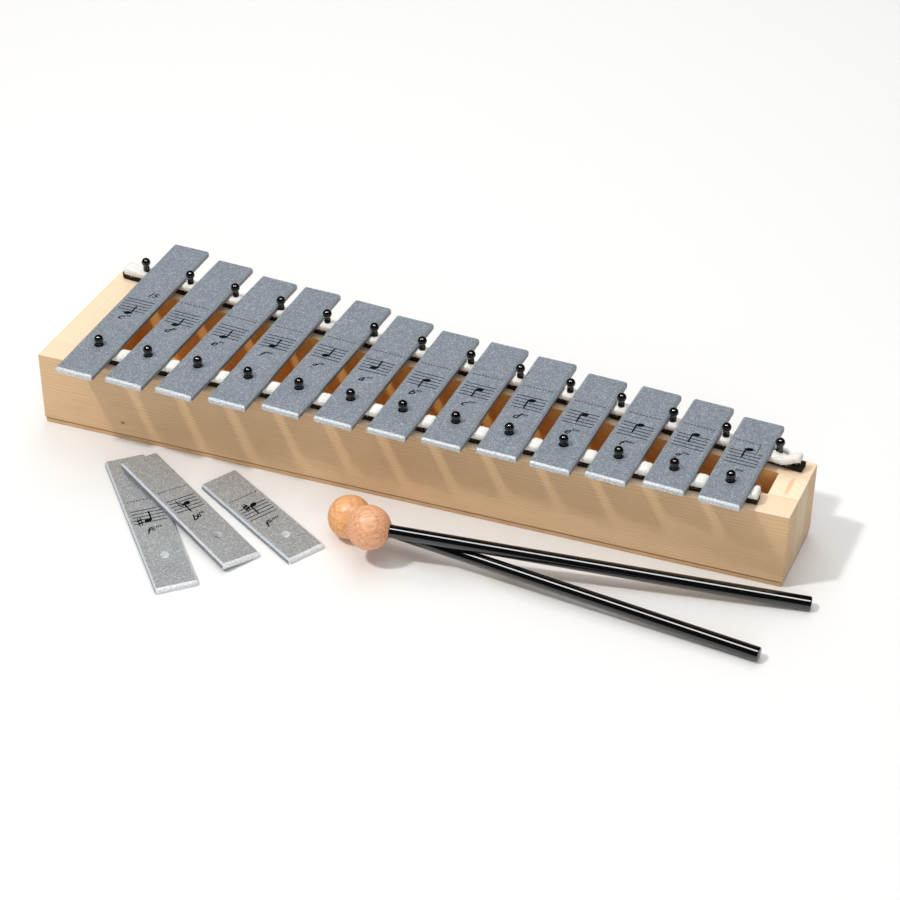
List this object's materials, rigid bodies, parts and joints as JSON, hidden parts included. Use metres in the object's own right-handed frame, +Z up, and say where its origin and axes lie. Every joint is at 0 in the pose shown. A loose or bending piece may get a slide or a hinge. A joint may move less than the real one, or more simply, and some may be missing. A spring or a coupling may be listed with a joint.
{
  "type": "glockenspiel",
  "caption": "Table-top glockenspiel: tuned metal bars on felt over a tapered wooden box resonator, with exchange bars and ball mallets beside it.",
  "frame": {"origin": "middle of the base panel's underside, on the table the instrument stands on", "axes": "+X along the box from the low notes to the high notes, +Y away from the player, +Z up"},
  "size_m": [0.4095, 0.2111, 0.0568],
  "materials": {
    "pine": "satin varnished pine",
    "plywood": "plain plywood panel",
    "black_damping_strip": "dense black felt strip",
    "white_felt": "soft white wool felt",
    "pin_coating": "glossy black coating",
    "bar_paint": "speckled silver-grey paint",
    "beech": "satin varnished beech",
    "handle": "glossy black rod"
  },
  "bodies": {
    "resonator": {"front_board": "pine", "back_board": "pine", "left_end_block": "pine", "right_end_block": "pine", "base_panel": "plywood", "front_damping_strip": "black_damping_strip", "back_damping_strip": "black_damping_strip", "front_bar_felt": "white_felt", "back_bar_felt": "white_felt", "front_pin_01": "pin_coating", "front_pin_02": "pin_coating", "front_pin_03": "pin_coating", "front_pin_04": "pin_coating", "front_pin_05": "pin_coating", "front_pin_06": "pin_coating", "front_pin_07": "pin_coating", "front_pin_08": "pin_coating", "front_pin_09": "pin_coating", "front_pin_10": "pin_coating", "front_pin_11": "pin_coating", "front_pin_12": "pin_coating", "front_pin_13": "pin_coating", "back_pin_01": "pin_coating", "back_pin_02": "pin_coating", "back_pin_03": "pin_coating", "back_pin_04": "pin_coating", "back_pin_05": "pin_coating", "back_pin_06": "pin_coating", "back_pin_07": "pin_coating", "back_pin_08": "pin_coating", "back_pin_09": "pin_coating", "back_pin_10": "pin_coating", "back_pin_11": "pin_coating", "back_pin_12": "pin_coating", "back_pin_13": "pin_coating", "back_pin_14": "pin_coating"},
    "bar_01": {"bar_01": "bar_paint"},
    "bar_02": {"bar_02": "bar_paint"},
    "bar_03": {"bar_03": "bar_paint"},
    "bar_04": {"bar_04": "bar_paint"},
    "bar_05": {"bar_05": "bar_paint"},
    "bar_06": {"bar_06": "bar_paint"},
    "bar_07": {"bar_07": "bar_paint"},
    "bar_08": {"bar_08": "bar_paint"},
    "bar_09": {"bar_09": "bar_paint"},
    "bar_10": {"bar_10": "bar_paint"},
    "bar_11": {"bar_11": "bar_paint"},
    "bar_12": {"bar_12": "bar_paint"},
    "bar_13": {"bar_13": "bar_paint"},
    "spare_bar_f_sharp": {"spare_bar_f_sharp": "bar_paint"},
    "spare_bar_b_flat": {"spare_bar_b_flat": "bar_paint"},
    "spare_bar_high_f_sharp": {"spare_bar_high_f_sharp": "bar_paint"},
    "lower_mallet": {"lower_mallet_head": "beech", "lower_mallet_handle": "handle"},
    "upper_mallet": {"upper_mallet_head": "beech", "upper_mallet_handle": "handle"}
  },
  "joints": [
    {"name": "bar_01_lift", "type": "slide", "parent": "resonator", "child": "bar_01", "axis": [0, 0, 1], "range_m": [0, 0.015]},
    {"name": "bar_02_lift", "type": "slide", "parent": "resonator", "child": "bar_02", "axis": [0, 0, 1], "range_m": [0, 0.015]},
    {"name": "bar_03_lift", "type": "slide", "parent": "resonator", "child": "bar_03", "axis": [0, 0, 1], "range_m": [0, 0.015]},
    {"name": "bar_04_lift", "type": "slide", "parent": "resonator", "child": "bar_04", "axis": [0, 0, 1], "range_m": [0, 0.015]},
    {"name": "bar_05_lift", "type": "slide", "parent": "resonator", "child": "bar_05", "axis": [0, 0, 1], "range_m": [0, 0.015]},
    {"name": "bar_06_lift", "type": "slide", "parent": "resonator", "child": "bar_06", "axis": [0, 0, 1], "range_m": [0, 0.015]},
    {"name": "bar_07_lift", "type": "slide", "parent": "resonator", "child": "bar_07", "axis": [0, 0, 1], "range_m": [0, 0.015]},
    {"name": "bar_08_lift", "type": "slide", "parent": "resonator", "child": "bar_08", "axis": [0, 0, 1], "range_m": [0, 0.015]},
    {"name": "bar_09_lift", "type": "slide", "parent": "resonator", "child": "bar_09", "axis": [0, 0, 1], "range_m": [0, 0.015]},
    {"name": "bar_10_lift", "type": "slide", "parent": "resonator", "child": "bar_10", "axis": [0, 0, 1], "range_m": [0, 0.015]},
    {"name": "bar_11_lift", "type": "slide", "parent": "resonator", "child": "bar_11", "axis": [0, 0, 1], "range_m": [0, 0.015]},
    {"name": "bar_12_lift", "type": "slide", "parent": "resonator", "child": "bar_12", "axis": [0, 0, 1], "range_m": [0, 0.015]},
    {"name": "bar_13_lift", "type": "slide", "parent": "resonator", "child": "bar_13", "axis": [0, 0, 1], "range_m": [0, 0.015]},
    {"name": "spare_bar_f_sharp_lift", "type": "slide", "parent": "resonator", "child": "spare_bar_f_sharp", "axis": [0, 0, 1], "range_m": [0, 0.02]},
    {"name": "spare_bar_b_flat_lift", "type": "slide", "parent": "spare_bar_f_sharp", "child": "spare_bar_b_flat", "axis": [0, 0, 1], "range_m": [0, 0.02]},
    {"name": "spare_bar_high_f_sharp_lift", "type": "slide", "parent": "resonator", "child": "spare_bar_high_f_sharp", "axis": [0, 0, 1], "range_m": [0, 0.02]},
    {"name": "lower_mallet_lift", "type": "slide", "parent": "resonator", "child": "lower_mallet", "axis": [0, 0, 1], "range_m": [0, 0.04]},
    {"name": "upper_mallet_lift", "type": "slide", "parent": "lower_mallet", "child": "upper_mallet", "axis": [0, 0, 1], "range_m": [0, 0.04]}
  ]
}
